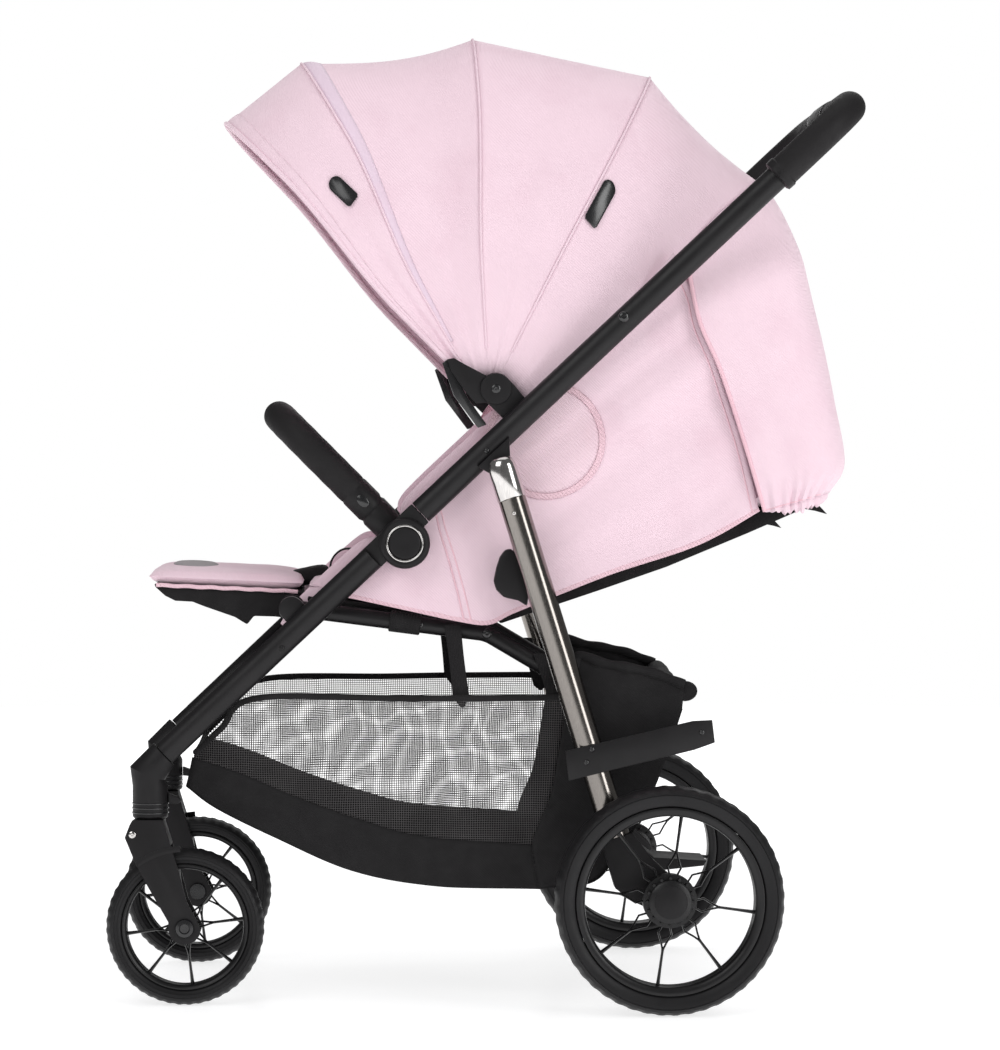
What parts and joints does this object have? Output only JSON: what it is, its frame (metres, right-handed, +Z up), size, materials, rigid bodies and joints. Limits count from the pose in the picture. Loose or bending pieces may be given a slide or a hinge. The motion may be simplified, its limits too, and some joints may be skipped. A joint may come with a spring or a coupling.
{
  "type": "baby stroller",
  "caption": "Four-wheeled baby stroller with reclined seat, hooped canopy, leg rest, bumper bar and mesh basket; folds at two side hinges.",
  "frame": {"origin": "on the ground, under the middle of the stroller's bounding box", "axes": "+Z up, -X the way the stroller faces, -Y its left side"},
  "size_m": [0.8583, 0.58, 1.1049],
  "materials": {
    "frame_black": "satin powder coat",
    "plastic_black": "fine grained",
    "grip_black": "soft matte",
    "leg_metal": "dark polished",
    "tyre": "satin",
    "rim_black": "satin",
    "fabric_pink": "woven",
    "fabric_black": "woven",
    "mesh_grey": "open mesh"
  },
  "bodies": {
    "lower_frame": {"lower_tube_left": "frame_black", "lower_tube_right": "frame_black", "fork_head_left": "plastic_black", "fork_head_right": "plastic_black", "front_cross_tube": "frame_black", "basket": "mesh_grey"},
    "upper_frame": {"upper_tube_left": "frame_black", "upper_tube_right": "frame_black", "fold_hinge_left": "plastic_black", "fold_hinge_right": "plastic_black", "hinge_cap_left": "plastic_black", "hinge_cap_right": "plastic_black", "handle_grip_left": "grip_black", "handle_grip_right": "grip_black", "canopy_bracket_left": "plastic_black", "canopy_bracket_right": "plastic_black", "side_panel_left": "fabric_pink", "side_panel_right": "fabric_pink", "fold_housing": "plastic_black", "back_flap": "fabric_pink", "canopy_rear": "fabric_pink"},
    "fold_button": {"fold_button": "plastic_black"},
    "rear_legs": {"rear_leg_left": "leg_metal", "rear_leg_right": "leg_metal", "axle_housing_left": "plastic_black", "axle_housing_right": "plastic_black", "parking_foot_left": "frame_black", "parking_foot_right": "frame_black", "rear_axle": "frame_black"},
    "brake_pedal": {"brake_pedal": "plastic_black"},
    "seat": {"seat_bar_left": "frame_black", "seat_bar_right": "frame_black", "seat_base": "fabric_black"},
    "backrest": {"backrest_frame": "fabric_black", "backrest_pad": "fabric_pink"},
    "legrest": {"legrest_board": "fabric_black", "legrest_pad": "fabric_pink"},
    "bumper": {"bumper_bar": "grip_black"},
    "canopy_rear_hoop": {"canopy_rib_rear": "plastic_black", "canopy_middle": "fabric_pink"},
    "canopy_middle_hoop": {"canopy_rib_middle": "plastic_black", "canopy_front": "fabric_pink"},
    "canopy_front_hoop": {"canopy_rib_front": "plastic_black"},
    "visor": {"canopy_rib_visor": "plastic_black", "canopy_visor": "fabric_pink"},
    "swivel_lock_left": {"swivel_lock_left": "plastic_black"},
    "caster_left": {"front_fork_left": "plastic_black", "front_axle_left": "plastic_black"},
    "front_wheel_left": {"front_tyre_left": "tyre", "front_rim_left": "rim_black"},
    "rear_wheel_left": {"rear_tyre_left": "tyre", "rear_rim_left": "rim_black"},
    "swivel_lock_right": {"swivel_lock_right": "plastic_black"},
    "caster_right": {"front_fork_right": "plastic_black", "front_axle_right": "plastic_black"},
    "front_wheel_right": {"front_tyre_right": "tyre", "front_rim_right": "rim_black"},
    "rear_wheel_right": {"rear_tyre_right": "tyre", "rear_rim_right": "rim_black"}
  },
  "joints": [
    {"name": "frame_fold", "type": "hinge", "parent": "lower_frame", "child": "upper_frame", "pos_m": [-0.09341, 0, 0.52121], "axis": [0, 1, 0], "range_deg": [0, 105], "deforming": ["side_panel_left", "side_panel_right", "back_flap", "canopy_rear", "basket"]},
    {"name": "leg_fold", "type": "hinge", "parent": "upper_frame", "child": "rear_legs", "pos_m": [0.01537, 0, 0.60407], "axis": [0, -1, 0], "range_deg": [0, 75.5]},
    {"name": "seat_fold", "type": "hinge", "parent": "lower_frame", "child": "seat", "pos_m": [-0.22034, 0, 0.44695], "axis": [0, 1, 0], "range_deg": [0, 54]},
    {"name": "backrest_recline", "type": "hinge", "parent": "seat", "child": "backrest", "pos_m": [0, 0, 0.4181], "axis": [0, -1, 0], "range_deg": [0, 48]},
    {"name": "legrest_tilt", "type": "hinge", "parent": "seat", "child": "legrest", "pos_m": [-0.22034, 0, 0.44695], "axis": [0, -1, 0], "range_deg": [0, 60]},
    {"name": "bumper_tilt", "type": "hinge", "parent": "lower_frame", "child": "bumper", "pos_m": [-0.09341, 0, 0.52121], "axis": [0, -1, 0], "range_deg": [0, 30]},
    {"name": "canopy_fold", "type": "hinge", "parent": "canopy_rear_hoop", "child": "canopy_middle_hoop", "pos_m": [0.00891, 0, 0.6939], "axis": [0, 1, 0], "range_deg": [0, 24], "deforming": ["canopy_middle", "canopy_front", "canopy_visor"]},
    {"name": "canopy_rear_tilt", "type": "hinge", "parent": "upper_frame", "child": "canopy_rear_hoop", "pos_m": [0.00891, 0, 0.6939], "axis": [0, 1, 0], "range_deg": [0, 14.5]},
    {"name": "canopy_front_tilt", "type": "hinge", "parent": "canopy_middle_hoop", "child": "canopy_front_hoop", "pos_m": [0.00891, 0, 0.6939], "axis": [0, 1, 0], "range_deg": [0, 20.5]},
    {"name": "visor_tilt", "type": "hinge", "parent": "canopy_front_hoop", "child": "visor", "pos_m": [0.00891, 0, 0.6939], "axis": [0, 1, 0], "range_deg": [0, 7.5]},
    {"name": "brake_press", "type": "hinge", "parent": "rear_legs", "child": "brake_pedal", "pos_m": [0.165, 0, 0.15], "axis": [0, 1, 0], "range_deg": [0, 18]},
    {"name": "fold_button_press", "type": "slide", "parent": "upper_frame", "child": "fold_button", "axis": [0.7278, 0, 0.6858], "range_m": [0, 0.005], "stiffness_N_per_m": 500},
    {"name": "caster_swivel_left", "type": "hinge", "parent": "lower_frame", "child": "caster_left", "pos_m": [-0.3793, -0.17, 0.2108], "axis": [0, 0, 1], "continuous": true},
    {"name": "front_wheel_spin_left", "type": "hinge", "parent": "caster_left", "child": "front_wheel_left", "pos_m": [-0.3402, -0.17, 0.089], "axis": [0, 1, 0], "continuous": true},
    {"name": "rear_wheel_spin_left", "type": "hinge", "parent": "rear_legs", "child": "rear_wheel_left", "pos_m": [0.1983, -0.27, 0.1275], "axis": [0, 1, 0], "continuous": true},
    {"name": "swivel_lock_press_left", "type": "slide", "parent": "lower_frame", "child": "swivel_lock_left", "axis": [0, 0, -1], "range_m": [0, 0.005]},
    {"name": "caster_swivel_right", "type": "hinge", "parent": "lower_frame", "child": "caster_right", "pos_m": [-0.3793, 0.17, 0.2108], "axis": [0, 0, 1], "continuous": true},
    {"name": "front_wheel_spin_right", "type": "hinge", "parent": "caster_right", "child": "front_wheel_right", "pos_m": [-0.3402, 0.17, 0.089], "axis": [0, 1, 0], "continuous": true},
    {"name": "rear_wheel_spin_right", "type": "hinge", "parent": "rear_legs", "child": "rear_wheel_right", "pos_m": [0.1983, 0.27, 0.1275], "axis": [0, 1, 0], "continuous": true},
    {"name": "swivel_lock_press_right", "type": "slide", "parent": "lower_frame", "child": "swivel_lock_right", "axis": [0, 0, -1], "range_m": [0, 0.005]}
  ],
  "couplings": [
    {"joint": "leg_fold", "follows": "frame_fold", "ratio": 0.714},
    {"joint": "seat_fold", "follows": "frame_fold", "ratio": 0.509},
    {"joint": "canopy_rear_tilt", "follows": "canopy_fold", "ratio": 0.58},
    {"joint": "canopy_front_tilt", "follows": "canopy_fold", "ratio": 0.84},
    {"joint": "visor_tilt", "follows": "canopy_fold", "ratio": 0.3}
  ]
}
